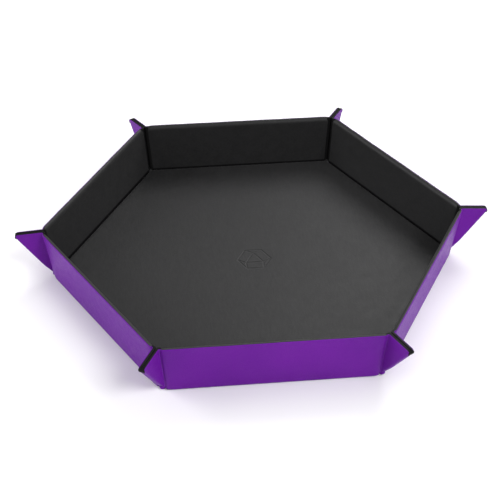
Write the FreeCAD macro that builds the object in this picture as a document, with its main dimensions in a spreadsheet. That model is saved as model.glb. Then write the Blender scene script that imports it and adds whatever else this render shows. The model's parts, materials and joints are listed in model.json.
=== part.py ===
"""Folding hexagonal dice tray: a stiff base, six walls and twelve magnetic corner flaps.

Every panel is a board between a leatherette cover (outside) and a fabric lining (inside).
The walls fold up about creases round the base.  A flap at each end of every wall folds about
the wall's end, and the two flaps of a corner lie lining to lining as one fin, held by magnets.

Frame: origin on the resting plane under the centre of the base, +Z up, the front wall at -Y
and corners at +X and -X.  Millimetres.  The tray is modelled folded up for play.
"""

import FreeCAD, Part
import math
import os
from collections import namedtuple

import Sketcher
from FreeCAD import Placement, Rotation, Vector

SHEET = "Dims"
SIDES = ["front", "front_right", "back_right", "back", "back_left", "front_left"]
HANDS = {"left": -1, "right": 1}  # seen from outside, facing the wall

# Driving dimensions: alias, value in mm (or degrees), meaning.
DRIVING = [
    ("flat_width", 260.0, "across the flats of the tray when it is laid flat"),
    ("wall_height", 30.4, "from a wall's crease to its rim, along the wall"),
    ("wall_lean", 7.0, "degrees that a raised wall leans outwards"),
    ("panel_gauge", 2.6, "thickness of the base and the walls"),
    ("flap_gauge", 1.6, "thickness of a flap"),
    ("cover_gauge", 0.4, "leatherette on the base and the walls"),
    ("lining_gauge", 0.4, "lining on the base and the walls"),
    ("skin_gauge", 0.3, "cover and lining on a flap, skived thinner"),
    ("crease_gap", 0.6, "between a rolled edge and the panel beside it"),
    ("fin_gap", 0.2, "between the two flaps of a closed corner"),
    ("seam_gap", 0.8, "between the two flaps of a corner laid flat"),
    ("board_play", 0.05, "round a board in its pocket"),
    ("board_inset", 0.5, "from a wall's end to the end of its board"),
    ("rim_round", 2.1, "radius of the inside edge of the rim"),
    ("tip_round", 1.5, "radius of a flap's outer tip"),
    ("foot_height", 1.6, "lowest point of a flap above the crease"),
    ("foot_width", 0.6, "width of a flap at its lowest point"),
    ("kink_height", 7.0, "where the soft foot of a flap meets its stiff part"),
    ("magnet_diameter", 8.0, "disc magnet"),
    ("magnet_across", 5.6, "magnet centre from the flap's crease"),
    ("magnet_up", 23.0, "magnet centre above the wall's crease"),
    ("emblem_radius", 10.0, "corner radius of the pressed hexagon in the floor"),
    ("emblem_triangle", 6.2, "corner radius of the pressed triangle"),
    ("emblem_line", 0.8, "width of a pressed line"),
    ("emblem_depth", 0.15, "depth of a pressed line"),
]
MARGIN = 5.0  # how far a cutting outline reaches past the solid that it trims
BLUNT = 0.4  # how far a flap's board reaches into its tip, as a share of the tip's radius

Arc = namedtuple("Arc", "x y radius")  # a round stretch of an outline: its centre and radius


class Size:
    """A length with the spreadsheet formula that it came from."""

    def __init__(self, value, formula=None):
        self.value = float(value)
        self.formula = formula or repr(float(value))

    def _join(self, sign, other, value):
        return Size(value, f"({self.formula} {sign} {other.formula})")

    def __add__(self, other):
        other = as_size(other)
        return self._join("+", other, self.value + other.value)

    def __sub__(self, other):
        other = as_size(other)
        return self._join("-", other, self.value - other.value)

    def __mul__(self, other):
        other = as_size(other)
        return self._join("*", other, self.value * other.value)

    def __truediv__(self, other):
        other = as_size(other)
        return self._join("/", other, self.value / other.value)

    def __neg__(self):
        return self * -1.0

    __radd__ = __add__
    __rmul__ = __mul__


def as_size(number):
    return number if isinstance(number, Size) else Size(number)


def derived_dimensions(d):
    """Dimensions that follow from the driving ones, as (alias, value, meaning)."""
    lean = math.radians(d["wall_lean"])
    half_corner = math.radians(30.0)
    apothem = d["flat_width"] / 2 - d["wall_height"]
    side = 2 * apothem * math.tan(half_corner)
    slant = math.atan(math.sin(lean) * math.tan(half_corner))
    corner_lean = math.atan(math.tan(lean) / math.cos(half_corner))
    flap_axis = side / 2 - (d["flap_gauge"] + d["fin_gap"]) / 2 / math.cos(half_corner)
    end_gap = d["flap_gauge"] / 2 + d["crease_gap"]
    inset = side / 2 - flap_axis
    slope = half_corner - slant
    diagonal = (
        inset * math.cos(slant)
        - inset * math.sin(slant) * math.tan(slope)
        - d["seam_gap"] / 2 / math.cos(slope)
    )
    top = d["wall_height"] / math.cos(slant)
    # Centre of the rounded tip: tip_round inside both the top edge and the diagonal.
    low_top = top - d["tip_round"] / math.cos(slant)
    low_diagonal = diagonal - d["tip_round"] / math.cos(slope)
    tip_x = (low_diagonal + low_top * math.tan(slope)) / (1 - math.tan(slant) * math.tan(slope))
    tip_y = low_top + tip_x * math.tan(slant)
    base_apothem = apothem - d["panel_gauge"] / 2 - d["crease_gap"]
    # The closed fin's outward direction, resolved along the wall and up the wall, and so the
    # angle between a flap in its wall's plane and the same flap in the fin.
    fin_along = math.cos(corner_lean) * math.sin(half_corner)
    fin_up = math.sin(lean) * math.cos(corner_lean) * math.cos(half_corner)
    fin_up -= math.cos(lean) * math.sin(corner_lean)
    flap_fold = math.acos(math.cos(slant) * fin_along - math.sin(slant) * fin_up)
    return [
        ("crease_apothem", apothem, "from the centre to a wall's crease"),
        ("crease_side", side, "side of the hexagon of creases"),
        ("slant", math.degrees(slant), "degrees that a wall's end leans"),
        ("end_slope", math.tan(slant), "rise of a wall's end and of a flap's top edge"),
        ("flap_axis", flap_axis, "from a wall's middle to a flap's crease"),
        ("wall_half", flap_axis - end_gap / math.cos(slant), "half a wall, at its crease"),
        ("flap_slope", math.tan(slope), "run of a flap's diagonal per unit of height"),
        ("flap_diagonal", diagonal, "where the diagonal starts, at crease level"),
        ("diagonal_stretch", 1 / math.cos(slope), "run of an offset of the diagonal"),
        ("flap_top", top, "height of a flap's top edge at its crease"),
        ("tip_x", tip_x, "centre of the rounded tip, across"),
        ("tip_y", tip_y, "centre of the rounded tip, up"),
        ("tip_run_x", d["tip_round"] * math.cos(slope), "tip centre to diagonal, across"),
        ("tip_run_y", -d["tip_round"] * math.sin(slope), "tip centre to diagonal, up"),
        ("tip_rise_x", -d["tip_round"] * math.sin(slant), "tip centre to top edge, across"),
        ("tip_rise_y", d["tip_round"] * math.cos(slant), "tip centre to top edge, up"),
        ("base_radius", base_apothem / math.cos(half_corner), "centre to a corner of the base"),
        ("hexagon", math.cos(half_corner), "apothem of a hexagon of corner radius one"),
        ("flap_fold", math.degrees(flap_fold), "degrees that a closed flap is folded"),
    ]


def fill_sheet(doc):
    """Writes every dimension to the spreadsheet and returns them as Size objects."""
    sheet = doc.addObject("Spreadsheet::Sheet", SHEET)
    rows = list(DRIVING)
    rows += derived_dimensions({alias: value for alias, value, _ in DRIVING})
    sizes = {}
    for row, (alias, value, meaning) in enumerate(rows, start=1):
        sheet.set(f"A{row}", meaning)
        sheet.set(f"B{row}", repr(float(value)))
        sheet.setAlias(f"B{row}", alias)
        sizes[alias] = Size(value, f"{SHEET}.{alias}")
    doc.recompute()
    return sizes


# ---------------------------------------------------------------- sketches and features


def new_body(doc, name):
    body = doc.addObject("PartDesign::Body", name)
    body.Label = name
    return body


def new_sketch(body, plane, name, offset=None):
    """An empty sketch on one of the body's origin planes, raised by offset along its normal."""
    sketch = body.newObject("Sketcher::SketchObject", f"{body.Name}_{name}")
    support = [f for f in body.Origin.OriginFeatures if f.Role == plane][0]
    sketch.AttachmentSupport = [(support, "")]
    sketch.MapMode = "FlatFace"
    if offset is not None:
        sketch.AttachmentOffset = Placement(Vector(0, 0, offset.value), Rotation())
        sketch.setExpression("AttachmentOffset.Base.z", offset.formula)
    return sketch


def bind(sketch, kind, *places, size):
    """Adds a dimension constraint whose value is the spreadsheet formula in size."""
    size = as_size(size)
    number = sketch.addConstraint(Sketcher.Constraint(kind, *places, size.value))
    sketch.setExpression(f"Constraints[{number}]", size.formula)


def draw_loop(sketch, points):
    """Closes a loop through points, each (x, y).

    A point is reached by a straight line, or, given as (x, y, arc), by the shorter way round
    that Arc.
    """
    points = [(as_size(p[0]), as_size(p[1]), p[2] if len(p) > 2 else None) for p in points]
    edges = []
    for here, there in zip(points, points[1:] + points[:1]):
        start = Vector(here[0].value, here[1].value, 0)
        end = Vector(there[0].value, there[1].value, 0)
        arc = there[2]
        if arc is None:
            edge = sketch.addGeometry(Part.LineSegment(start, end), False)
            edges.append((edge, 1, 2))
            continue
        centre = Vector(as_size(arc.x).value, as_size(arc.y).value, 0)
        anticlockwise = (start - centre).cross(end - centre).z > 0
        ends = (start, end) if anticlockwise else (end, start)
        angles = [math.atan2(p.y - centre.y, p.x - centre.x) for p in ends]
        circle = Part.Circle(centre, Vector(0, 0, 1), as_size(arc.radius).value)
        edge = sketch.addGeometry(Part.ArcOfCircle(circle, *angles), False)
        edges.append((edge, 1, 2) if anticlockwise else (edge, 2, 1))
        bind(sketch, "Radius", edge, size=arc.radius)
    for this, following in zip(edges, edges[1:] + edges[:1]):
        sketch.addConstraint(
            Sketcher.Constraint("Coincident", this[0], this[2], following[0], following[1])
        )
    for (edge, first, _), (x, y, _) in zip(edges, points):
        bind(sketch, "DistanceX", -1, 1, edge, first, size=x)
        bind(sketch, "DistanceY", -1, 1, edge, first, size=y)


def draw_circle(sketch, x, y, radius):
    centre = Vector(as_size(x).value, as_size(y).value, 0)
    circle = Part.Circle(centre, Vector(0, 0, 1), as_size(radius).value)
    edge = sketch.addGeometry(circle, False)
    bind(sketch, "Radius", edge, size=radius)
    bind(sketch, "DistanceX", -1, 1, edge, 3, size=x)
    bind(sketch, "DistanceY", -1, 1, edge, 3, size=y)


def pad(body, sketch, length, symmetric=False):
    feature = body.newObject("PartDesign::Pad", f"{sketch.Name}_pad")
    feature.Profile = sketch
    feature.SideType = "Symmetric" if symmetric else "One side"
    length = as_size(length)
    feature.Length = length.value
    feature.setExpression("Length", length.formula)
    sketch.Visibility = False


def pocket_through(body, sketch, side):
    """Cuts the sketch's regions right through: on both sides, above it or below it."""
    feature = body.newObject("PartDesign::Pocket", f"{sketch.Name}_cut")
    feature.Profile = sketch
    feature.Type = "ThroughAll"
    feature.SideType = "Symmetric" if side == "both" else "One side"
    feature.Reversed = side == "above"
    sketch.Visibility = False


# ---------------------------------------------------------------- base


def hexagon(s, radius):
    """Corners of a hexagon whose first corner is on the X axis."""
    return [
        (radius, 0),
        (radius / 2, radius * s["hexagon"]),
        (-radius / 2, radius * s["hexagon"]),
        (-radius, 0),
        (-radius / 2, -radius * s["hexagon"]),
        (radius / 2, -radius * s["hexagon"]),
    ]


def base_cover(doc, s):
    """Leatherette under the base."""
    body = new_body(doc, "base_cover")
    sketch = new_sketch(body, "XY_Plane", "outline")
    draw_loop(sketch, hexagon(s, s["base_radius"]))
    pad(body, sketch, s["cover_gauge"])
    return body


def base_lining(doc, s):
    """The floor of the tray: lining turned down round the board, with a pressed emblem."""
    body = new_body(doc, "base_lining")
    sketch = new_sketch(body, "XY_Plane", "outline", s["cover_gauge"])
    draw_loop(sketch, hexagon(s, s["base_radius"]))
    pad(body, sketch, s["panel_gauge"] - s["cover_gauge"])
    inner = new_sketch(body, "XY_Plane", "inside", s["panel_gauge"] - s["lining_gauge"])
    draw_loop(inner, hexagon(s, s["base_radius"] - s["lining_gauge"] / s["hexagon"]))
    pocket_through(body, inner, "below")
    # Emblem: a hexagon with a triangle in it, as a twenty-sided die shows from above.
    emblem = new_sketch(body, "XY_Plane", "emblem", s["panel_gauge"] - s["emblem_depth"])
    draw_loop(emblem, hexagon(s, s["emblem_radius"]))
    draw_loop(emblem, hexagon(s, s["emblem_radius"] - s["emblem_line"] / s["hexagon"]))
    # A triangle's corners move in by twice the width of the line.
    for radius in (s["emblem_triangle"], s["emblem_triangle"] - s["emblem_line"] * 2):
        foot = radius * s["hexagon"]
        draw_loop(emblem, [(0, radius), (-foot, -radius / 2), (foot, -radius / 2)])
    pocket_through(body, emblem, "above")
    return body


def base_board(doc, s):
    """Stiff board that fills the base between its cover and its lining."""
    body = new_body(doc, "base_board")
    sketch = new_sketch(body, "XY_Plane", "outline", s["cover_gauge"])
    radius = s["base_radius"] - (s["lining_gauge"] + s["board_play"]) / s["hexagon"]
    draw_loop(sketch, hexagon(s, radius))
    pad(body, sketch, s["panel_gauge"] - s["cover_gauge"] - s["lining_gauge"])
    return body


# ---------------------------------------------------------------- walls
# A wall's own frame: X along the crease, Y up the wall, Z out of its covered face,
# with the origin at the middle of the crease and half way through the thickness.


def cut_ends(body, s, inset):
    """Trims both ends of a wall piece to the slant of the corners."""
    sketch = new_sketch(body, "XY_Plane", "ends")
    low = -s["panel_gauge"]
    high = s["wall_height"] + MARGIN
    far = s["crease_side"] / 2 + MARGIN * 2
    for side in (-1, 1):
        near = [(s["wall_half"] - inset + y * s["end_slope"]) * side for y in (low, high)]
        draw_loop(sketch, [(near[0], low), (far * side, low), (far * side, high), (near[1], high)])
    pocket_through(body, sketch, "both")


def wall_piece(doc, s, name, section, inset=0.0):
    """Extrudes a cross-section along the crease and trims it to the corners."""
    body = new_body(doc, name)
    sketch = new_sketch(body, "YZ_Plane", "section")
    draw_loop(sketch, section)
    pad(body, sketch, s["crease_side"] + MARGIN * 2, symmetric=True)
    cut_ends(body, s, inset)
    return body


def wall_cover(doc, s, name):
    """Leatherette on the outside of a wall, rolled under to the crease."""
    half = s["panel_gauge"] / 2
    inside = half - s["cover_gauge"]
    top = s["wall_height"] - s["lining_gauge"]
    section = [
        (top, half),
        (0, half),
        (-half, 0, Arc(0, 0, half)),
        (-inside, 0),
        (0, inside, Arc(0, 0, inside)),
        (top, inside),
    ]
    return wall_piece(doc, s, name, section)


def wall_lining(doc, s, name):
    """Lining on the inside of a wall, turned over the rim and rolled under to the crease."""
    half = s["panel_gauge"] / 2
    inside = half - s["lining_gauge"]
    rim = s["wall_height"]
    turn = s["rim_round"]
    section = [
        (rim, half),
        (rim, turn - half),
        (rim - turn, -half, Arc(rim - turn, turn - half, turn)),
        (0, -half),
        (-half, 0, Arc(0, 0, half)),
        (-inside, 0),
        (0, -inside, Arc(0, 0, inside)),
        (rim - turn, -inside),
        (rim - s["lining_gauge"], turn - half, Arc(rim - turn, turn - half, turn - s["lining_gauge"])),
        (rim - s["lining_gauge"], half),
    ]
    return wall_piece(doc, s, name, section)


def wall_board(doc, s, name):
    """Stiff board inside a wall, rounded under the rim."""
    half = s["panel_gauge"] / 2
    skin = s["lining_gauge"] + s["board_play"]
    outer = half - s["cover_gauge"]
    rim = s["wall_height"] - skin
    turn = s["rim_round"]
    section = [
        (rim, outer),
        (rim, turn - half),
        (s["wall_height"] - turn, skin - half, Arc(s["wall_height"] - turn, turn - half, turn - skin)),
        (s["board_inset"], skin - half),
        (s["board_inset"], outer),
    ]
    return wall_piece(doc, s, name, section, s["board_inset"])


# ---------------------------------------------------------------- flaps
# A flap's own frame: Y up along its crease with the wall, X across (away from the wall for a
# right-hand flap), Z out of its covered face, with the origin level with the wall's crease.


def flap_top_at(s, x, lowered=0.0):
    """Height of the flap's top edge, or of a line lowered below it, at x across."""
    return s["flap_top"] - lowered + x * s["end_slope"]


def trim_to_flap(body, s, hand):
    """Cuts away all that lies outside the flap's rounded outline."""
    sketch = new_sketch(body, "XY_Plane", "outline")
    reach = s["tip_x"] + MARGIN * 2
    high = s["flap_top"] + MARGIN * 2
    draw_loop(
        sketch,
        [(-reach * hand, -high), (reach * hand, -high), (reach * hand, high), (-reach * hand, high)],
    )
    inner = -s["flap_gauge"]
    kink = s["flap_diagonal"] + s["kink_height"] * s["flap_slope"]
    tip = Arc(s["tip_x"] * hand, s["tip_y"], s["tip_round"])
    draw_loop(
        sketch,
        [
            (inner * hand, s["foot_height"]),
            (s["foot_width"] * hand, s["foot_height"]),
            (kink * hand, s["kink_height"]),
            ((s["tip_x"] + s["tip_run_x"]) * hand, s["tip_y"] + s["tip_run_y"]),
            ((s["tip_x"] + s["tip_rise_x"]) * hand, s["tip_y"] + s["tip_rise_y"], tip),
            (inner * hand, flap_top_at(s, inner)),
        ],
    )
    pocket_through(body, sketch, "both")


def flap_pocket(s, hand, top, play=0.0):
    """Outline of the space inside a flap, from the kink up to the height given by top(x)."""
    low = s["kink_height"] + play
    edge = s["flap_diagonal"] - (s["skin_gauge"] + play) * s["diagonal_stretch"]
    blunt = s["tip_x"] + s["tip_round"] * BLUNT - play
    near = as_size(play)
    return [
        (near * hand, low),
        ((edge + low * s["flap_slope"]) * hand, low),
        (blunt * hand, (blunt - edge) / s["flap_slope"]),
        (blunt * hand, top(blunt)),
        (near * hand, top(near)),
    ]


def flap_skin(doc, s, name, hand, face):
    """A blank for one skin: rolled round the crease on its own face, then square, then trimmed.

    The face is 1 for the cover and -1 for the lining.  In the soft foot, below the kink, each
    skin keeps only its own half of the thickness.
    """
    body = new_body(doc, name)
    half = s["flap_gauge"] / 2
    reach = s["tip_x"] + MARGIN
    high = s["flap_top"] + MARGIN
    sketch = new_sketch(body, "XZ_Plane", "section")
    draw_loop(
        sketch,
        [
            (-half * hand, 0),
            (0, half * face, Arc(0, 0, half)),
            (reach * hand, half * face),
            (reach * hand, -half * face),
            (0, -half * face),
            (0, 0),
        ],
    )
    pad(body, sketch, high * 2, symmetric=True)
    trim_to_flap(body, s, hand)
    foot = new_sketch(body, "XY_Plane", "foot")
    kink = s["kink_height"]
    draw_loop(foot, [(0, -high), (reach * hand, -high), (reach * hand, kink), (0, kink)])
    pocket_through(body, foot, "below" if face > 0 else "above")
    return body


def flap_cover(doc, s, name, hand):
    """Leatherette of one flap: its outer face, rolled over the diagonal edge."""
    body = flap_skin(doc, s, name, hand, 1)
    reach = s["tip_x"] + MARGIN
    high = s["flap_top"] + MARGIN
    turn = new_sketch(body, "XY_Plane", "under_turned_edge")
    draw_loop(
        turn,
        [
            (-MARGIN * hand, flap_top_at(s, -MARGIN, s["skin_gauge"])),
            (reach * hand, flap_top_at(s, reach, s["skin_gauge"])),
            (reach * hand, high),
            (-MARGIN * hand, high),
        ],
    )
    pocket_through(body, turn, "both")
    inside = new_sketch(body, "XY_Plane", "inside", s["flap_gauge"] / 2 - s["skin_gauge"])
    draw_loop(inside, flap_pocket(s, hand, lambda x: high))
    pocket_through(body, inside, "below")
    return body


def flap_lining(doc, s, name, hand):
    """Lining of one flap: its inner face, turned over the top edge."""
    body = flap_skin(doc, s, name, hand, -1)
    reach = s["tip_x"] + MARGIN
    skin = s["skin_gauge"]
    start = s["flap_diagonal"] - skin * s["diagonal_stretch"]
    blunt = s["tip_x"] + s["tip_round"] * BLUNT
    kink = s["kink_height"]
    diagonal = new_sketch(body, "XY_Plane", "beside_diagonal")
    draw_loop(
        diagonal,
        [
            ((start + kink * s["flap_slope"]) * hand, kink),
            (reach * hand, kink),
            (reach * hand, flap_top_at(s, reach, skin)),
            (blunt * hand, flap_top_at(s, blunt, skin)),
            (blunt * hand, (blunt - start) / s["flap_slope"]),
        ],
    )
    pocket_through(body, diagonal, "both")
    inside = new_sketch(body, "XY_Plane", "inside", skin - s["flap_gauge"] / 2)
    draw_loop(inside, flap_pocket(s, hand, lambda x: flap_top_at(s, x, skin)))
    pocket_through(body, inside, "above")
    return body


def flap_board(doc, s, name, hand):
    """Thin stiff board inside a flap, with a round seat for the magnet."""
    body = new_body(doc, name)
    half = s["flap_gauge"] / 2 - s["skin_gauge"]
    sketch = new_sketch(body, "XY_Plane", "outline", -half)
    play = s["board_play"]
    draw_loop(
        sketch,
        flap_pocket(s, hand, lambda x: flap_top_at(s, x, s["skin_gauge"] + play), play),
    )
    draw_circle(
        sketch, s["magnet_across"] * hand, s["magnet_up"], s["magnet_diameter"] / 2 + play
    )
    pad(body, sketch, half * 2)
    return body


def flap_magnet(doc, s, name, hand):
    """Disc magnet in a flap's board."""
    body = new_body(doc, name)
    half = s["flap_gauge"] / 2 - s["skin_gauge"]
    sketch = new_sketch(body, "XY_Plane", "disc", -half)
    draw_circle(sketch, s["magnet_across"] * hand, s["magnet_up"], s["magnet_diameter"] / 2)
    pad(body, sketch, half * 2)
    return body


# ---------------------------------------------------------------- where everything goes


def wall_placement(s, number):
    """The frame of the wall with that number, counted anticlockwise from the front."""
    to_crease = Placement(
        Vector(0, -s["crease_apothem"].value, s["panel_gauge"].value / 2), Rotation()
    )
    stand_up = Placement(Vector(), Rotation(Vector(1, 0, 0), 90 + s["wall_lean"].value))
    around = Placement(Vector(), Rotation(Vector(0, 0, 1), 60 * number))
    return around * to_crease * stand_up


def flap_placement(s, number, hand):
    """The frame of a flap folded out into the closed fin at its corner."""
    to_crease = Placement(
        Vector(s["flap_axis"].value * hand, 0, 0),
        Rotation(Vector(0, 0, 1), -s["slant"].value * hand),
    )
    fold = Placement(Vector(), Rotation(Vector(0, 1, 0), -s["flap_fold"].value * hand))
    return wall_placement(s, number) * to_crease * fold


def build(doc):
    """Makes every sub-part in its place and returns those that are exported."""
    s = fill_sheet(doc)
    parts = [make(doc, s) for make in (base_cover, base_lining, base_board)]
    for number, side in enumerate(SIDES):
        walls = [
            wall_cover(doc, s, f"{side}_wall_cover"),
            wall_lining(doc, s, f"{side}_wall_lining"),
            wall_board(doc, s, f"{side}_wall_board"),
        ]
        for body in walls:
            body.Placement = wall_placement(s, number)
        parts += walls
        for word, hand in HANDS.items():
            name = f"{side}_wall_{word}_flap"
            skins = [
                flap_cover(doc, s, f"{name}_cover", hand),
                flap_lining(doc, s, f"{name}_lining", hand),
            ]
            inside = [
                flap_board(doc, s, f"{name}_board", hand),
                flap_magnet(doc, s, f"{name}_magnet", hand),
            ]
            for body in skins + inside:
                body.Placement = flap_placement(s, number, hand)
            both = doc.addObject("Part::Compound", f"{name}_skins")
            both.Label = f"{name}_skins"
            both.Links = skins
            parts += [both] + inside
    doc.recompute()
    return parts


def check(doc, parts):
    """Stops the build if a feature failed or a sub-part has no sound shape."""
    for item in doc.Objects:
        if "Invalid" in item.State or "Error" in item.State:
            raise RuntimeError(f"{item.Name} failed: {item.State}")
    for item in parts:
        if item.Shape.isNull() or not item.Shape.isValid():
            raise RuntimeError(f"{item.Label} has no valid shape")
        if any(solid.Volume <= 0 for solid in item.Shape.Solids):
            raise RuntimeError(f"{item.Label} has a solid with no volume")


def main():
    doc = FreeCAD.newDocument("folding_dice_tray")
    parts = build(doc)
    check(doc, parts)
    os.makedirs("parts", exist_ok=True)
    for item in parts:
        item.Shape.exportStep(f"parts/{item.Label}.step")
        print(f"{item.Label}: {len(item.Shape.Solids)} solids, {item.Shape.Volume:.1f} mm3")
    print(f"{len(parts)} nodes")


main()
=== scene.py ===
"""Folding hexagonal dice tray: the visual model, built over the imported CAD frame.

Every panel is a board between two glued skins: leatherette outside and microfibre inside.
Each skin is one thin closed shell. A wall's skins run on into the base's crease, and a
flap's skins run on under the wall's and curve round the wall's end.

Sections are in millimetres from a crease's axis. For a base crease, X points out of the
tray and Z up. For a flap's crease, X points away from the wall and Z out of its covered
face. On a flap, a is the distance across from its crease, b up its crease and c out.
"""

import json
import math

import bmesh
import bpy
import numpy as np
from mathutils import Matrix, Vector

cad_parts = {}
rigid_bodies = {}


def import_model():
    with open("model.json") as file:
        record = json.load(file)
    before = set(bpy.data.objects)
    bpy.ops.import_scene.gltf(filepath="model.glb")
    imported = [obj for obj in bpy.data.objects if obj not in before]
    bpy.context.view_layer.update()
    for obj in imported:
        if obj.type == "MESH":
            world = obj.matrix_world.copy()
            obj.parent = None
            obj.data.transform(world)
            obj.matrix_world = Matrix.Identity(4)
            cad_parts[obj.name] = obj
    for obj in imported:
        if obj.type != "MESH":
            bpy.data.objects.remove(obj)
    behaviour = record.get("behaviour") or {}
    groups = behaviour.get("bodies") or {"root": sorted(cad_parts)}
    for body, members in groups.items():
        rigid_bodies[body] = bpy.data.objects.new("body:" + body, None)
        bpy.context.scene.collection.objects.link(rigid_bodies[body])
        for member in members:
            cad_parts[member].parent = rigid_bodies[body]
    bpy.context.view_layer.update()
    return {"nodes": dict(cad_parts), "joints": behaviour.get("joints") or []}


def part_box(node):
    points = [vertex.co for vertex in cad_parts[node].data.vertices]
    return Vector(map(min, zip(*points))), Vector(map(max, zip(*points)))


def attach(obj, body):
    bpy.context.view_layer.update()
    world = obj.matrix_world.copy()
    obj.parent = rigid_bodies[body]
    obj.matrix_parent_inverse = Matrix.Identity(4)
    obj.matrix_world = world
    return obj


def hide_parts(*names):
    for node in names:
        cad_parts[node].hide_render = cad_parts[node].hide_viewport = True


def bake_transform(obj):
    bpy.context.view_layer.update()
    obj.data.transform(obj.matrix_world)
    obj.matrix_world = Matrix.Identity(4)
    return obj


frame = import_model()

MM = 0.001
UP = np.array((0.0, 0.0, 1.0))
HANDS = {"left": -1, "right": 1}  # seen from outside, facing the wall

# Driving sizes in mm, as the CAD source has them.
FLAP_GAUGE = 1.6
SEAM_GAP = 0.8
CREASE_GAP = 0.6
RIM_ROUND = 2.1
TIP_ROUND = 1.5
FOOT = ((0.35, 0.0), (0.42, 0.8), (0.6, 1.6))  # a flap's lowest edge
KINK_HEIGHT = 7.0
EMBLEM_RADIUS = 10.0
EMBLEM_TRIANGLE = 6.2
EMBLEM_LINE = 0.8
EMBLEM_DEPTH = 0.15

# Sizes that only the skins have.
SKIN = 0.3  # thickness of a skin on the base and the walls
FLAP_SKIN = 0.24  # and of a flap's, skived thinner
HEM_STEP = 0.06  # how far the lining stands off the cover that it is turned over
HEM_SUNK = 0.22  # or, on a flap's top edge, how far it lies inside the cover
HEM = 0.15  # lining turned over an outside face
TURN = 0.35  # radius of the flap's top edges
RIM_OUTER_ROUND = 0.35
SHADED_CREASE_TOP = 1.4  # how far up a wall its lining is painted darker, as shade in the base's crease
RIM_DROP = 2.7  # how far down the inside edge of the rim starts to round over
RIM_DROOP = 0.22  # how far the rim sinks at a wall's end
UNEVEN = 0.09  # how far a rim, turned by hand, wavers
END_LENGTH = 3.6  # the covered end of a wall curves in over this length
END_REACH = END_LENGTH * 1.3  # and its rim sinks over this one
END_DEPTH = 0.8
LINED_END = 0.35  # length and depth of the curve at a wall's lined end
EDGE_ROUND = 1.25  # width of the rolled diagonal edge of a flap
EDGE_PROUD = 0.3  # how far that roll stands past the board
TIP_WRAP = 0.8  # lining wrapped round the tip, down the diagonal
FLOOR_INSET = 0.35  # the lined floor stops short of the board's own edge, for the crease
FLOOR_ROUND = 0.7
UNDER_ROUND = 0.5
CORNER_ROUND = 1.5

joints = {j["name"]: j for j in frame["joints"]}
SIDES = [j["name"][: -len("_wall_fold")] for j in frame["joints"] if j["parent"] == "base"]


# ---------------------------------------------------------------- places from the frame


def unit(v):
    v = np.array(v, float)
    return v / np.linalg.norm(v)


def vertices(node):
    return np.array([v.co for v in frame["nodes"][node].data.vertices])


class Wall:
    """A wall at rest: the middle of its crease, and the directions along, up and out of it."""

    def __init__(self, side):
        axes = [unit(joints[f"{side}_wall_{hand}_flap_fold"]["axis"]) for hand in HANDS]
        self.name = f"{side}_wall"
        self.origin = np.array(joints[f"{side}_wall_fold"]["pos_m"])
        self.along = unit(joints[f"{side}_wall_fold"]["axis"])
        self.up = unit(axes[1] - axes[0])
        self.out = np.cross(self.along, self.up)
        self.level = np.cross(self.along, UP)

    def point(self, x, y, z):
        return self.origin + MM * (x * self.along + y * self.up + z * self.out)

    def level_point(self, out, height):
        return self.origin + MM * (out * self.level + height * UP)


class Flap:
    """A flap at rest, folded out as half of a corner's fin."""

    def __init__(self, wall, hand):
        sign = HANDS[hand]
        joint = joints[f"{wall.name}_{hand}_flap_fold"]
        self.name = f"{wall.name}_{hand}_flap"
        self.wall = wall
        self.origin = np.array(joint["pos_m"])
        self.up = unit(joint["axis"]) * sign
        self.out = wall.out
        self.away = np.cross(self.up, self.out) * sign
        self.fold = math.radians(joint["range_deg"][1])

    def point(self, x, z, b):
        return self.origin + MM * (x * self.away + z * self.out + b * self.up)

    def folded(self, a, c):
        """Section coordinates (X, Z) of a point of the folded flap."""
        cos, sin = math.cos(self.fold), math.sin(self.fold)
        return a * cos - c * sin, a * sin + c * cos


walls = [Wall(side) for side in SIDES]
flaps = [Flap(wall, hand) for wall in walls for hand in HANDS]

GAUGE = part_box("base_lining")[1].z / MM  # thickness of the base and the walls
HALF = GAUGE / 2
APOTHEM = float(np.linalg.norm(walls[0].origin[:2])) / MM
LEAN = math.atan2(walls[0].up @ walls[0].level, walls[0].up @ UP)
SLANT = math.atan2(flaps[1].up @ walls[0].along, flaps[1].up @ walls[0].up)
END_SLOPE = math.tan(SLANT)
FLAP_AXIS = float(np.linalg.norm(flaps[1].origin - walls[0].origin)) / MM
WALL_HEIGHT = ((vertices("front_wall_lining") - walls[0].origin) @ walls[0].up).max() / MM
WALL_END = -FLAP_GAUGE / 2 - CREASE_GAP  # a wall's end, from the flap's crease
WALL_HALF = FLAP_AXIS + WALL_END / math.cos(SLANT)
FLAP_TOP = WALL_HEIGHT / math.cos(SLANT)
FLAP_HALF = FLAP_GAUGE / 2
BASE_APOTHEM = APOTHEM - HALF - CREASE_GAP
CORNER = APOTHEM / math.cos(math.radians(30))


# ---------------------------------------------------------------- curves in a section


def arc(centre, radius, start, end, steps):
    """Points round a circle, or round an ellipse given two radii. Angles are in degrees."""
    across, up = radius if isinstance(radius, tuple) else (radius, radius)
    angles = np.radians(np.linspace(start, end, steps + 1))
    return [(centre[0] + across * math.cos(t), centre[1] + up * math.sin(t)) for t in angles]


def between(start, end, shares):
    """Points at the given shares of the way from start to end."""
    start, end = np.array(start), np.array(end)
    return [tuple(start + (end - start) * share) for share in shares]


def bezier(corners, steps):
    """A curve pulled by two or more corners, from the first to the last."""
    order = len(corners) - 1
    points = []
    for t in np.linspace(0, 1, steps + 1):
        weights = [math.comb(order, k) * (1 - t) ** (order - k) * t**k for k in range(order + 1)]
        points.append(tuple(np.array(weights) @ np.array(corners, float)))
    return points


def curl(distance, reach, depth):
    """How far a surface has curved in at a distance from its edge: depth at the edge itself."""
    if distance >= reach:
        return 0.0
    return depth * (1 - math.sqrt(1 - (1 - distance / reach) ** 2))


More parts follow.
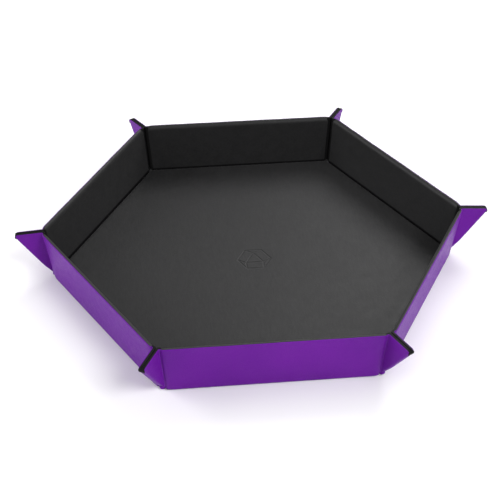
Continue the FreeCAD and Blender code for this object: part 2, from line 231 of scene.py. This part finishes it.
def ease(t):
    t = min(max(t, 0.0), 1.0)
    return t * t * (3 - 2 * t)


# ---------------------------------------------------------------- meshes


def grid_faces(rows, columns, first=0, ring=False):
    """Quads between points numbered row by row. A ring joins each row's end to its start."""
    faces = []
    for r in range(rows - 1):
        for c in range(columns if ring else columns - 1):
            here, there = first + r * columns, first + (r + 1) * columns
            right = (c + 1) % columns
            faces.append((here + c, here + right, there + right, there + c))
    return faces


def thicken(bm, gauge):
    """Makes a thin closed shell of an open sheet, by adding a copy of it gauge further in."""
    bm.normal_update()
    rim = [e.link_loops[0] for e in bm.edges if e.is_boundary]
    rim = [(loop.vert, loop.link_loop_next.vert) for loop in rim]
    faces = list(bm.faces)
    inner = {v: bm.verts.new(v.co - v.normal * gauge) for v in list(bm.verts)}
    for face in faces:
        back = bm.faces.new([inner[v] for v in reversed(face.verts)])
        back.material_index = face.material_index
    for a, b in rim:
        bm.faces.new((b, a, inner[a], inner[b]))


def build(name, points, faces, inside, material, gauge=None, in_painted_shade=None):
    """A smooth mesh object. inside is a point that its faces turn away from.

    The last argument tells whether a point, given by its number, lies in painted shade:
    faces made only of such points take the darker microfibre, as painted shade in a crease.
    """
    bm = bmesh.new()
    made = [bm.verts.new(p) for p in points]
    for face in faces:
        made_face = bm.faces.new([made[i] for i in face])
        # painted shade: a face whose points all lie in painted shade takes the darker microfibre,
        # material 1
        if in_painted_shade and all(in_painted_shade(i) for i in face):
            made_face.material_index = 1
    bmesh.ops.remove_doubles(bm, verts=bm.verts, dist=2e-6)
    bmesh.ops.dissolve_degenerate(bm, edges=bm.edges, dist=1e-6)
    bmesh.ops.delete(bm, geom=[v for v in bm.verts if not v.link_faces], context="VERTS")
    bmesh.ops.recalc_face_normals(bm, faces=bm.faces)
    centre = Vector(inside)
    outward = sum(f.calc_area() * f.normal.dot(f.calc_center_median() - centre) for f in bm.faces)
    if outward < 0:
        bmesh.ops.reverse_faces(bm, faces=bm.faces)
    area = sum(f.calc_area() for f in bm.faces)
    if gauge:
        thicken(bm, gauge * MM)
    mesh = bpy.data.meshes.new(name)
    bm.to_mesh(mesh)
    bm.free()
    mesh.shade_smooth()
    mesh.set_sharp_from_angle(angle=math.radians(55))
    mesh.materials.append(material)
    if in_painted_shade:
        mesh.materials.append(painted_shade_black)
    obj = bpy.data.objects.new(name, mesh)
    bpy.context.scene.collection.objects.link(obj)
    return obj, area


# ---------------------------------------------------------------- materials


class Finish:
    """A procedural material under construction: nodes are added by type and linked by socket."""

    def __init__(self, name, **sockets):
        self.material = bpy.data.materials.new(name)
        self.material.use_nodes = True
        self.tree = self.material.node_tree
        self.bsdf = self.tree.nodes["Principled BSDF"]
        for socket, value in sockets.items():
            self.bsdf.inputs[socket.replace("_", " ")].default_value = value
        self.place = self.node("ShaderNodeTexCoord").outputs["Object"]

    def node(self, kind, links=(), **settings):
        node = self.tree.nodes.new(kind)
        for name, value in settings.items():
            if name in node.bl_rna.properties:
                setattr(node, name, value)
            else:
                node.inputs[name.replace("_", " ")].default_value = value
        for socket, source in dict(links).items():
            self.tree.links.new(source, node.inputs[socket])
        return node

    def noise(self, size, detail=2.0, place=None):
        """Noise whose lumps are about size mm across, as a value from 0 to 1."""
        links = {"Vector": place or self.place}
        noise = self.node("ShaderNodeTexNoise", links, Scale=1 / (size * MM), Detail=detail)
        return noise.outputs["Fac"]

    def spread(self, value, low, high, start=0.3, end=0.7):
        """Maps a value from start..end to low..high."""
        links = {"Value": value}
        sizes = {"From_Min": start, "From_Max": end, "To_Min": low, "To_Max": high}
        return self.node("ShaderNodeMapRange", links, **sizes).outputs["Result"]

    def mix(self, share, dark, light):
        """A colour between two, by share."""
        ramp = self.node("ShaderNodeValToRGB", {"Fac": share})
        ramp.color_ramp.elements[0].color = (*dark, 1)
        ramp.color_ramp.elements[1].color = (*light, 1)
        return ramp.outputs["Color"]

    def add(self, first, second, weight):
        """first + second * weight."""
        links = {0: second, 2: first}
        add = self.node("ShaderNodeMath", links, operation="MULTIPLY_ADD")
        add.inputs[1].default_value = weight
        return add.outputs["Value"]

    def dress(self, colour, roughness, height, depth):
        """Links the colour, the roughness and a bump that is depth mm deep."""
        bump = self.node("ShaderNodeBump", {"Height": height}, Strength=1.0, Distance=depth * MM)
        self.tree.links.new(colour, self.bsdf.inputs["Base Color"])
        self.tree.links.new(roughness, self.bsdf.inputs["Roughness"])
        self.tree.links.new(bump.outputs["Normal"], self.bsdf.inputs["Normal"])
        return self.material


def leatherette():
    """Purple imitation leather: fine pebbles with darker creases between them, a satin gloss."""
    finish = Finish("leatherette", IOR=1.2)
    wobble = finish.node("ShaderNodeTexNoise", {"Vector": finish.place}, Scale=1 / (0.9 * MM))
    links = {"Color1": finish.place, "Color2": wobble.outputs["Color"]}
    warped = finish.node("ShaderNodeMixRGB", links)
    warped.inputs["Fac"].default_value = 0.0004
    cells = finish.node(
        "ShaderNodeTexVoronoi",
        {"Vector": warped.outputs["Color"]},
        feature="DISTANCE_TO_EDGE",
        Scale=1 / (0.75 * MM),
    )
    pebble = finish.spread(cells.outputs["Distance"], 0.0, 1.0, 0.0, 0.28)
    height = finish.add(pebble, finish.noise(0.22), 0.35)
    height = finish.add(height, finish.noise(6.0), 1.2)
    tone = finish.add(finish.noise(35.0, detail=3), pebble, 0.25)
    share = finish.spread(tone, 0, 1, 0.35, 0.95)
    colour = finish.mix(share, (0.108, 0.005, 0.245), (0.146, 0.0085, 0.302))
    roughness = finish.spread(finish.noise(3.0, detail=4), 0.36, 0.46)
    return finish.dress(colour, roughness, height, 0.03)


def microfibre(name, shade, **sockets):
    """Charcoal brushed fabric: a short nap that lies in small patches, and no weave to see."""
    finish = Finish(name, **sockets)
    nap = finish.noise(0.28, detail=3)
    patches = finish.noise(5.0, detail=4)
    stretched = finish.node("ShaderNodeMapping", {"Vector": finish.place})
    stretched.inputs["Scale"].default_value = (1.0, 0.25, 1.0)
    brushed = finish.noise(1.1, detail=3, place=stretched.outputs["Vector"])
    tone = finish.add(finish.add(brushed, patches, 0.5), nap, 0.8)
    dark, light = ([shade * c for c in tint] for tint in ((0.7, 0.7, 0.73), (1.3, 1.27, 1.32)))
    colour = finish.mix(finish.spread(tone, 0, 1, 0.75, 1.5), dark, light)
    roughness = finish.spread(finish.add(patches, nap, 0.5), 0.42, 0.54, 0.4, 1.0)
    height = finish.add(finish.add(nap, brushed, 0.5), patches, 0.3)
    return finish.dress(colour, roughness, height, 0.05)


def greyboard():
    """Recycled board: grey with paler and darker fibres."""
    finish = Finish("greyboard")
    fibres = finish.add(finish.noise(0.8, detail=6), finish.noise(9.0), 0.4)
    colour = finish.mix(finish.spread(fibres, 0, 1, 0.4, 1.0), (0.2, 0.185, 0.16), (0.4, 0.375, 0.33))
    roughness = finish.spread(fibres, 0.8, 0.92, 0.4, 1.0)
    return finish.dress(colour, roughness, fibres, 0.04)


def nickel():
    """Plated magnet: bright metal with fine scratches."""
    finish = Finish("nickel", Metallic=1.0)
    stretched = finish.node("ShaderNodeMapping", {"Vector": finish.place})
    stretched.inputs["Scale"].default_value = (0.1, 1.0, 1.0)
    scratches = finish.noise(0.3, detail=3, place=stretched.outputs["Vector"])
    colour = finish.mix(scratches, (0.5, 0.49, 0.46), (0.62, 0.61, 0.58))
    roughness = finish.spread(scratches, 0.18, 0.34)
    return finish.dress(colour, roughness, scratches, 0.004)


purple = leatherette()
black = microfibre("microfibre", 0.0142, IOR=1.3, Sheen_Weight=0.08, Sheen_Roughness=0.45)
# painted shade: a darker microfibre, put in creases, on the fins' top edges and round their tips, where
# there is only shade
painted_shade_black = microfibre("microfibre_pressed", 0.0055, IOR=1.2)
hidden = {"board": greyboard(), "magnet": nickel()}
for name, node in frame["nodes"].items():
    kind = name.rsplit("_", 1)[1]
    if kind in hidden:
        node.data.materials.clear()
        node.data.materials.append(hidden[kind])


# ---------------------------------------------------------------- base


def polar(radius, degrees):
    """A place (x, y) at a distance from the middle, at an angle."""
    angle = math.radians(degrees)
    return radius * np.array((math.cos(angle), math.sin(angle)))


def hexagon_ring(inset, height, count):
    """A rounded hexagon inset from the base's outline, as count points, corners first."""
    turn = max(CORNER_ROUND - inset * 0.5, 0.4)
    reach = (BASE_APOTHEM - inset - turn) / math.cos(math.radians(30))  # to a rounding's centre
    bend = count // 12
    run = count // 6 - bend
    points = []
    for corner in range(0, 360, 60):
        turned = arc(polar(reach, corner), turn, corner - 30, corner + 30, bend)
        end = polar(reach, corner + 60) + polar(turn, corner + 30)
        points += turned + between(turned[-1], end, np.arange(1, run) / run)
    return [np.array((x, y, height)) for x, y in points]


def round_ring(radius, height, count):
    """A circle whose points stand at the hexagon's own angles."""
    ring = hexagon_ring(0, 0, count)
    return [np.append(unit(p[:2]) * radius, height) for p in ring]


def to_segment(x, y, start, end):
    """Distance of a place from a line segment."""
    run = np.array(end) - np.array(start)
    share = ((x - start[0]) * run[0] + (y - start[1]) * run[1]) / (run @ run)
    share = min(max(share, 0.0), 1.0)
    return math.hypot(x - start[0] - share * run[0], y - start[1] - share * run[1])


def polygon(radius, sides, first):
    """Corners of a regular polygon, the first one at that many degrees."""
    return [tuple(polar(radius, first + 360 * k / sides)) for k in range(sides)]


def emblem_segments():
    """Centre lines of the pressed emblem: a twenty-sided die seen from above."""
    six = polygon(EMBLEM_RADIUS - EMBLEM_LINE / 2, 6, 0)
    three = polygon(EMBLEM_TRIANGLE - EMBLEM_LINE / 2, 3, 90)
    lines = [(six[k], six[(k + 1) % 6]) for k in range(6)]
    lines += [(three[k], three[(k + 1) % 3]) for k in range(3)]
    for k, corner in enumerate(three):
        near = sorted(six, key=lambda p: math.dist(p, corner))[:2]
        lines += [(corner, p) for p in near]
    return lines


EMBLEM = emblem_segments()


def pressed(x, y):
    """Depth of the emblem at a place on the floor."""
    near = min(to_segment(x, y, start, end) for start, end in EMBLEM)
    return EMBLEM_DEPTH * ease((EMBLEM_LINE / 2 + 0.12 - near) / 0.24)


def dome(outwards, radius, rise, side):
    """Rings of a half dome at each corner of the base: material folded away into the corner."""
    made = []
    for k in range(6):
        corner = np.append(polar(CORNER + outwards, 60 * k), 0)
        rings = [[corner + np.array((0, 0, HALF))] * 24]
        for level in np.radians((0, 15, 30, 45, 60, 75, 90)):
            reach = radius * math.cos(level) ** 0.7
            height = HALF + side * rise * math.sin(level)
            rings.append([corner + np.array((x, y, height)) for x, y in arc((0, 0), reach, 0, 345, 23)])
        made.append(rings)
    return made


def base_piece(name, node, rings, domes, material, in_painted_shade=None):
    """A skin of the base: closed rings from the middle out and back, and its corners' domes."""
    points, faces = [], []
    for group in [rings, *domes]:
        faces += grid_faces(len(group), len(group[0]), len(points), ring=True)
        points += [p * MM for ring in group for p in ring]
    obj, _ = build(name, points, faces, (0, 0, HALF * MM), material, in_painted_shade=in_painted_shade)
    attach(obj, "base")
    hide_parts(node)


def base_rings(side, inset, turn, low, count):
    """Rings of a skin's outer face, rolled over the base's edge: side is 1 above and -1 below."""
    face = HALF + side * HALF
    rings = [hexagon_ring(inset + turn + more, face, count) for more in (60, 30, 12, 5, 2, 1)]
    for across, up in arc((0, -turn), turn, 90, 0, 6):
        rings.append(hexagon_ring(inset + turn - across, face + side * up, count))
    rings.append(hexagon_ring(inset, HALF + side * low, count))
    rings.append(hexagon_ring(inset + SKIN, HALF + side * low, count))
    rings.append(hexagon_ring(inset + SKIN, face - side * turn, count))
    rings.append(hexagon_ring(inset + turn, face - side * SKIN, count))
    rings.append(hexagon_ring(inset + 30, face - side * SKIN, count))
    rings.append([np.array((0, 0, face - side * SKIN))] * count)
    return rings


def floor():
    count = 360
    rings = []
    for radius in np.arange(0, EMBLEM_RADIUS + 0.6, 0.15):
        ring = round_ring(max(radius, 1e-3), GAUGE, count)
        rings.append([p - np.array((0, 0, pressed(p[0], p[1]))) for p in ring])
    rings += [round_ring(radius, GAUGE, count) for radius in (11.5, 14, 20)]
    turned = len(rings) + 6 + 5  # the rings from here on are rolled down into the crease, and painted darker as shade
    rings += base_rings(1, FLOOR_INSET, FLOOR_ROUND, -0.4, count)
    domes = dome(-1.5, 1.7, 1.15, 1) + dome(-0.8, 1.1, 0.9, 1)
    # painted shade: the rolled-down rings take the darker microfibre
    in_painted_shade = range(turned * count, len(rings) * count).__contains__
    base_piece("floor_microfibre", "base_lining", rings, domes, black, in_painted_shade)


def underside():
    count = 120
    rings = [[np.array((0, 0, 0.0))] * count] + base_rings(-1, 0.0, UNDER_ROUND, 0.2, count)
    domes = dome(-1.15, 1.7, 1.1, -1) + dome(-1.0, 1.5, 0.8, 1)
    base_piece("underside_leatherette", "base_cover", rings, domes, purple)


# ---------------------------------------------------------------- walls


def to_wall(out, height):
    """Wall coordinates (up, out) of a point of the base crease's level section."""
    sin, cos = math.sin(LEAN), math.cos(LEAN)
    return out * sin + height * cos, out * cos - height * sin


def cover_section():
    """Outer face of a wall's cover, from inside the base's edge to over the rim."""
    edge = -HALF - CREASE_GAP
    bottom = [(edge - 0.35, -0.65), (edge - 0.1, -0.75), (edge + 0.2, -0.95)]
    bottom += bezier([(edge + 0.35, -1.1), (-1.34, -HALF), (-0.95, -HALF)], 4)
    bottom += [(-0.5, -HALF)]
    section = [to_wall(*p) for p in bottom]
    section += [to_wall(*p) for p in arc((0, 0), HALF, -90, -math.degrees(LEAN), 9)]
    turn = RIM_OUTER_ROUND
    top = WALL_HEIGHT - turn
    shares = (0.02, 0.05, 0.1, 0.2, 0.3, 0.4, 0.5, 0.6, 0.7, 0.8, 0.9, 0.98)
    section += between((0, HALF), (top, HALF), shares)
    section += [(y, z) for z, y in arc((HALF - turn, top), turn, 0, 90, 6)]
    return section + [(WALL_HEIGHT - 0.1, RIM_ROUND - HALF - 0.3)]


def lining_section():
    """Face of a wall's lining, from under the floor's edge up to the cover's edge on the rim."""
    edge = -HALF - CREASE_GAP - FLOOR_INSET
    bottom = [(edge - 0.5, 0.0), (edge - 0.1, -0.2), (edge + 0.25, -0.33)]
    bottom += bezier([(edge + 0.5, -0.37), (-1.45, -0.4), (-1.27, -0.22), (-1.3, 0.1)], 9)
    section = [to_wall(*p) for p in bottom]
    rim = WALL_HEIGHT
    bend = rim - RIM_DROP
    section += between((0, -HALF), (SHADED_CREASE_TOP, -HALF), (0, 0.3, 0.6))
    shares = (0, 0.03, 0.1, 0.2, 0.3, 0.4, 0.5, 0.6, 0.7, 0.8, 0.9, 0.97)
    section += between((SHADED_CREASE_TOP, -HALF), (bend, -HALF), shares)
    section += [(y, z) for z, y in arc((RIM_ROUND - HALF, bend), (RIM_ROUND, RIM_DROP), 180, 90, 12)]
    section += [(rim - 0.05, RIM_ROUND - HALF + 0.08), (rim - 0.2, RIM_ROUND - HALF + 0.12)]
    return section


def stations():
    """Places along a wall: (distance from its ends, share of the way to an end, from -1 to 1)."""
    ends = [END_REACH * (1 - math.cos(t)) for t in np.linspace(0, math.pi / 2, 12)]
    places = [(distance, -1) for distance in ends]
    places += [(ends[-1], share) for share in np.linspace(-1, 1, 42)[1:-1]]
    places += [(distance, 1) for distance in reversed(ends)]
    return places


STATIONS = stations()


def soft(x, y, z):
    """A slow unevenness, from -1 to 1, for edges that are turned by hand."""
    wave = math.sin(x * 0.31 + y * 0.2) + math.sin(x * 0.83 + z * 0.7 + 1.3) * 0.6
    return (wave + math.sin(x * 0.117 + 0.4) * 0.9) / 2.5


def wall_grid(wall, section, phase):
    """The section swept along the wall, its ends curved in and its rim sunk towards them."""
    points = []
    rim = WALL_HEIGHT - RIM_DROP
    for y, z in section:
        for distance, share in STATIONS:
            covered = curl(distance, END_LENGTH, END_DEPTH)
            lined = curl(distance, LINED_END, LINED_END)
            depth = z + lined * max(0.0, -z / HALF) - covered * max(0.0, z / HALF)
            height = y
            if y < 0:
                height = y * (1 - covered / HALF * 0.6)
            droop = RIM_DROOP * max(0.0, 1 - distance / END_REACH) ** 2
            height -= droop * ease(y / WALL_HEIGHT) ** 3
            end = WALL_HALF + y * END_SLOPE
            x = share * (end - distance)
            if y > rim - 0.5:
                height += UNEVEN * soft(x + phase, y, z) * ease((y - rim + 0.5) / 1.5)
            points.append(wall.point(x, height, depth))
    return points


def wall_skin(wall, kind, section, material, slot, start, end, phase):
    name = f"{wall.name}_{slot}"
    # painted shade: the lining's rows up to the top of the crease take the darker microfibre
    painted_shade_rows = sum(y <= SHADED_CREASE_TOP for y, _ in section)
    points = wall_grid(wall, section, phase)
    faces = grid_faces(len(section), len(STATIONS))
    middle = wall.point(0, WALL_HEIGHT / 2, 0)
    in_painted_shade = range(painted_shade_rows * len(STATIONS)).__contains__ if kind == "lining" else None
    obj, area = build(name, points, faces, middle, material, SKIN, in_painted_shade)
    wall.level_point(*start)
    wall.level_point(*end)
    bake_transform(obj)
    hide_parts(f"{wall.name}_{kind}")


def dress_walls():
    bend = polar(1.2, 45 - math.degrees(LEAN) / 2)  # across the crease, halfway between its sides
    for k, wall in enumerate(walls):
        phase = 7.0 * k
        wall_skin(wall, "cover", cover_section(), purple, "leatherette", -bend, bend, phase)
        start, end = (-1.72, 0.0), (-1.34, 0.0)  # in the gap beside the floor's edge
        wall_skin(wall, "lining", lining_section(), black, "microfibre", start, end, phase)


# ---------------------------------------------------------------- flaps

KAPPA = math.radians(30) - SLANT  # slope of a flap's diagonal, from its crease
INSET = APOTHEM * math.tan(math.radians(30)) - FLAP_AXIS
DIAGONAL = INSET * (math.cos(SLANT) - math.sin(SLANT) * math.tan(KAPPA))
DIAGONAL += (EDGE_PROUD - SEAM_GAP / 2) / math.cos(KAPPA)
TIP_A = DIAGONAL - TIP_ROUND / math.cos(KAPPA)
TIP_A += (FLAP_TOP - TIP_ROUND / math.cos(SLANT)) * math.tan(KAPPA)
TIP_A /= 1 - END_SLOPE * math.tan(KAPPA)
TIP_B = FLAP_TOP - TIP_ROUND / math.cos(SLANT) + TIP_A * END_SLOPE
TIP_END = TIP_A + TIP_ROUND
TIP_STEPS = 9
WRAP_START = TIP_A + TIP_ROUND * math.cos(KAPPA) - TIP_WRAP * math.sin(KAPPA)


def flap_outline():
    """A flap's lower edge as points (a, b): foot, kink, diagonal and the arc of the tip."""
    kink = (DIAGONAL + KINK_HEIGHT * math.tan(KAPPA), KINK_HEIGHT)
    before = between(FOOT[-1], kink, (0.55,))[0]
    after = (DIAGONAL + (KINK_HEIGHT + 3) * math.tan(KAPPA), KINK_HEIGHT + 3)
    turned = (-math.degrees(KAPPA), 90 + math.degrees(SLANT))
    tip = arc((TIP_A, TIP_B), TIP_ROUND, *turned, TIP_STEPS)
    points = list(FOOT) + between(FOOT[-1], before, (0.3, 0.65))
    points += bezier([before, kink, after], 6)
    points += between(after, tip[0], np.arange(1, 14) / 14)
    return points + tip


OUTLINE = flap_outline()


def bottom_at(a, inset=0.0):
    """Height of a flap's lower edge at a, or of a line inset from it."""
    lower = [p for p in OUTLINE if p[1] <= TIP_B]
    lower += [(TIP_END, TIP_B)]
    return float(np.interp(a + inset, [p[0] for p in lower], [p[1] for p in lower]))


def top_at(a):
    top = FLAP_TOP + a * END_SLOPE
    across = a - TIP_A
    if across > -TIP_ROUND * math.sin(SLANT):
        top = TIP_B + math.sqrt(max(TIP_ROUND**2 - across**2, 0.0))
    return top


def to_outline(a, b):
    """Distance inwards from a flap's top edge, tip and diagonal."""
    across, up = a - TIP_A, b - TIP_B
    angle = math.atan2(up, across)
    if -KAPPA <= angle <= math.pi / 2 + SLANT:
        return max(TIP_ROUND - math.hypot(across, up), 0.0)
    from_top = (FLAP_TOP + a * END_SLOPE - b) * math.cos(SLANT)
    from_diagonal = (DIAGONAL + b * math.tan(KAPPA) - a) * math.cos(KAPPA)
    return max(min(from_top, from_diagonal), 0.0)


def foot_half(b):
    """Height of a flap's covered face over its mid plane: the foot has no board in it."""
    return 0.3 + (FLAP_HALF - 0.3) * ease(b / KINK_HEIGHT)


def gutter(flap, half, reach, steps):
    """The cover's curve (X, Z) from the wall's end on to the folded flap, at a = reach."""
    start = (WALL_END - 0.05, 0.36)
    end = flap.folded(reach, half)
    away = flap.folded(0.45, 0.0)
    near = (end[0] - away[0], end[1] - away[1])
    return bezier([start, (WALL_END + 0.45, 0.3), near, end], steps)


def cover_row(flap, edge_a, half, rolled):
    """One row of a flap's cover, as (X, Z, a): from under the wall's end, out and round the edge.

    Under the tip's wrap the cover isn't rolled, but stops inside.
    """
    reach = min(0.55, edge_a * 0.5)
    row = [(WALL_END - 0.7, 0.5, WALL_END - 0.7), (WALL_END - 0.35, 0.42, WALL_END - 0.35)]
    row += [(x, z, x) for x, z in gutter(flap, half, reach, 7)]
    turn = min(EDGE_ROUND, edge_a * 0.45)
    start = edge_a - (turn if rolled else TURN)
    last = min(edge_a if rolled else start, WRAP_START + 0.3)
    flat_end = min(start, last)
    for share in (0.06, 0.14, 0.25, 0.4, 0.55, 0.7, 0.82, 0.92, 1.0):
        a = reach + (flat_end - reach) * share
        row.append((*flap.folded(a, half), a))
    low = -FLAP_HALF - HEM_STEP
    most = math.asin(min(max((last - start) / turn, 0.0), 1.0))
    for phi in np.linspace(0, most, 8)[1:]:
        a = start + turn * math.sin(phi) if most else flat_end
        c = low + (half - low) * math.cos(phi)
        row.append((*flap.folded(a, c), a))
    return row


def flap_cover(flap):
    points = []
    for k, (edge_a, edge_b) in enumerate(OUTLINE):
        slope = END_SLOPE * min(max(edge_b / FLAP_TOP, 0.0), 1.0)
        crease_b = edge_b - edge_a * slope
        lower = HEM_STEP * ease(crease_b - FLAP_TOP + 1)
        row = cover_row(flap, edge_a, foot_half(crease_b), k < len(OUTLINE) - TIP_STEPS)
        points += [flap.point(x, z, crease_b + a * slope - lower) for x, z, a in row]
    faces = grid_faces(len(OUTLINE), len(row))
    finish_flap(flap, points, faces, purple, "leatherette")


ROLL = [TURN * (1 - math.sin(t)) for t in np.linspace(0, math.pi / 2, 6)]  # depths in an edge
DOWN = (0.02, 0.06, 0.12, 0.2, 0.3, 0.4, 0.5, 0.6, 0.7, 0.8, 0.88, 0.94, 0.98, 1.0)
HEM_POINTS = 2 * len(ROLL) + 2  # points of a lining's column, from its hem to just inside the fin
WRAP_POINTS = 2 * len(ROLL) + 1  # and those that go round the tip's diagonal


def lining_columns(flap):
    """Columns of a flap's lining, as (outer, inner, wrapped).

    Beside the crease these are places (X, Z) and None. Further out they are distances a, and
    whether the column lies in the tip's wrap.
    """
    columns = []
    outer = [(WALL_END - 0.65, 0.5), (WALL_END - 0.3, 0.43)] + gutter(flap, FLAP_HALF, 0.55, 7)
    inner = [(WALL_END - 0.65, -1.0), (WALL_END - 0.25, -1.17), (WALL_END + 0.15, -1.27)]
    inner += arc((-0.575, 0), HALF, -90, -90 + math.degrees(flap.fold), 6)
    for o, i in zip(outer, inner):
        columns.append((o, i, None))
    spots = [0.8, 1.2, 1.8, 2.6, 3.6, 5, 6.5, 8, 9.5, 11, 12.5, WRAP_START - 0.6, WRAP_START - 0.02]
    spots += [WRAP_START]
    for t in np.linspace(0, 1, 10)[1:]:
        spots.append(WRAP_START + (TIP_END - WRAP_START) * math.sin(t * math.pi / 2))
    for a in spots:
        inner_a = a - 0.84 * max(0.0, 1 - (a - 0.55) / 1.8)
        columns.append((a, inner_a, bool(a >= WRAP_START)))
    return columns


def edge_half(depth):
    """Half thickness of a flap at a depth inside its outline, with its edges rounded."""
    short = max(TURN - depth, 0.0)
    return FLAP_HALF - TURN + math.sqrt(TURN**2 - short**2)


def crease_column(outer, inner):
    """A column of the lining beside the crease, from its places (X, Z) outside and inside."""
    outer, inner = np.array(outer), np.array(inner)
    through = (inner - outer) / np.linalg.norm(inner - outer)
    outside = outer + through * HEM_SUNK
    top = FLAP_TOP + outer[0] * END_SLOPE
    points = []
    for depth in [HEM, *ROLL]:
        place = outside + through * (FLAP_HALF - edge_half(depth))
        points.append((*place, top - depth))
    top = FLAP_TOP + inner[0] * END_SLOPE
    for depth in reversed(ROLL):
        place = inner - through * (FLAP_HALF - edge_half(depth))
        points.append((*place, top - depth))
    points += [(*inner, (top - TURN) * (1 - share)) for share in DOWN]
    return points + [points[-1]] * WRAP_POINTS


def fin_column(flap, outer, inner, wrapped):
    """A column of the lining further out. In the tip it is wrapped round the diagonal too."""
    top, bottom = top_at(outer), bottom_at(outer, 0.0 if wrapped else EDGE_PROUD + 0.05)
    deepest = (top - bottom) / 2 if wrapped else HEM
    roll = [min(depth, deepest * (0.9 - 0.1 * k)) if depth else 0.0 for k, depth in enumerate(ROLL)]
    step = HEM_STEP if wrapped else -HEM_SUNK
    points = []
    for depth in [deepest, *roll]:
        c = edge_half(to_outline(outer, top - depth)) + step
        points.append((*flap.folded(outer, c), top - depth))
    inner_top = top_at(inner)
    for depth in reversed(roll):
        c = edge_half(to_outline(inner, inner_top - depth))
        points.append((*flap.folded(inner, -c), inner_top - depth))
    lowest = bottom + roll[0] if wrapped else bottom_at(inner, EDGE_PROUD + 0.05)
    start = inner_top - roll[0]
    for share in DOWN:
        b = start + (lowest - start) * share
        c = edge_half(to_outline(inner, b)) if wrapped else FLAP_HALF
        points.append((*flap.folded(inner, -c), b))
    if not wrapped:
        return points + [points[-1]] * WRAP_POINTS
    for depth in roll:
        c = edge_half(to_outline(outer, bottom + depth))
        points.append((*flap.folded(outer, -c), bottom + depth))
    for depth in [*reversed(roll), deepest]:
        c = edge_half(to_outline(outer, bottom + depth)) + HEM_STEP
        points.append((*flap.folded(outer, c), bottom + depth))
    return points


def lining_column(flap, outer, inner, wrapped):
    """Points of one column: over the top edge from outside, down the inside and round the tip."""
    if wrapped is None:
        return crease_column(outer, inner)
    return fin_column(flap, outer, inner, wrapped)


def flap_lining(flap):
    columns = lining_columns(flap)
    rows = [lining_column(flap, *column) for column in columns]
    points = [flap.point(*p) for row in rows for p in row]
    faces = grid_faces(len(rows), len(rows[0]))
    crease_end = sum(column[2] is None for column in columns)
    tip_start = len(columns) - sum(column[2] is True for column in columns)

    # painted shade: the columns beside the crease and round the tip, and the hem over the top edge,
    # take the darker microfibre
    def in_painted_shade(i):
        column, place = divmod(i, len(rows[0]))
        return column <= crease_end or column >= tip_start or place < HEM_POINTS

    finish_flap(flap, points, faces, black, "microfibre", in_painted_shade)


def finish_flap(flap, points, faces, material, slot, in_painted_shade=None):
    x, z = flap.folded(4.0, 0.0)
    middle = flap.point(x, z, 18.0)
    name = f"{flap.name}_{slot}"
    obj, area = build(name, points, faces, middle, material, FLAP_SKIN, in_painted_shade)
    half = flap.fold / 2
    start = flap.point(-math.cos(half), -math.sin(half), 0)
    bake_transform(obj)
    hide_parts(f"{flap.name}_skins")


# ---------------------------------------------------------------- stage


def camera():
    """The view of the tray from in front and above, down its length."""
    azimuth, elevation = math.radians(-5.5), math.radians(37.9)
    cam = bpy.data.cameras.new("camera")
    cam.lens = 89.5
    obj = bpy.data.objects.new("camera", cam)
    bpy.context.scene.collection.objects.link(obj)
    back = Vector(
        (
            math.sin(azimuth) * math.cos(elevation),
            -math.cos(azimuth) * math.cos(elevation),
            math.sin(elevation),
        )
    )
    turn = (-back).to_track_quat("-Z", "Y").to_matrix()
    right, up = turn.col[0], turn.col[1]
    target = Vector((-0.0027, 0.0153, 0)) + right * 0.00173 - up * 0.00194  # a small shift
    obj.location = target + back * 0.7316
    obj.rotation_euler = turn.to_euler()
    bpy.context.scene.camera = obj


def soft_box(name, place, size, power):
    """A round light aimed at the tray."""
    light = bpy.data.lights.new(name, "AREA")
    light.shape = "DISK"
    light.size = size
    light.energy = power
    obj = bpy.data.objects.new(name, light)
    obj.location = place
    obj.rotation_euler = Vector(place).to_track_quat("Z", "Y").to_euler()
    bpy.context.scene.collection.objects.link(obj)


def studio():
    scene = bpy.context.scene
    scene.view_settings.view_transform = "Standard"
    world = bpy.data.worlds.new("studio")
    world.use_nodes = True
    world.node_tree.nodes["Background"].inputs["Color"].default_value = (1, 1, 1, 1)
    world.node_tree.nodes["Background"].inputs["Strength"].default_value = 0.45
    scene.world = world
    soft_box("back", (0.62, 1.02, 1.1), 0.9, 13.2)
    soft_box("right", (0.7, -0.9, 1.1), 0.7, 15.4)
    soft_box("left", (-1.2, 0.1, 0.6), 0.8, 9.9)
    ground = Finish("ground")
    colour = ground.mix(ground.noise(60.0), (0.93, 0.93, 0.93), (0.95, 0.95, 0.95))
    roughness = ground.spread(ground.noise(20.0), 0.75, 0.85)
    mesh = bpy.data.meshes.new("ground")
    mesh.from_pydata([(-6, -6, 0), (6, -6, 0), (6, 6, 0), (-6, 6, 0)], [], [(0, 1, 2, 3)])
    mesh.materials.append(ground.dress(colour, roughness, ground.noise(1.0), 0.01))
    obj = bpy.data.objects.new("ground", mesh)
    obj.location.z = -0.0002
    scene.collection.objects.link(obj)


floor()
underside()
dress_walls()
for flap in flaps:
    flap_cover(flap)
    flap_lining(flap)
camera()
studio()
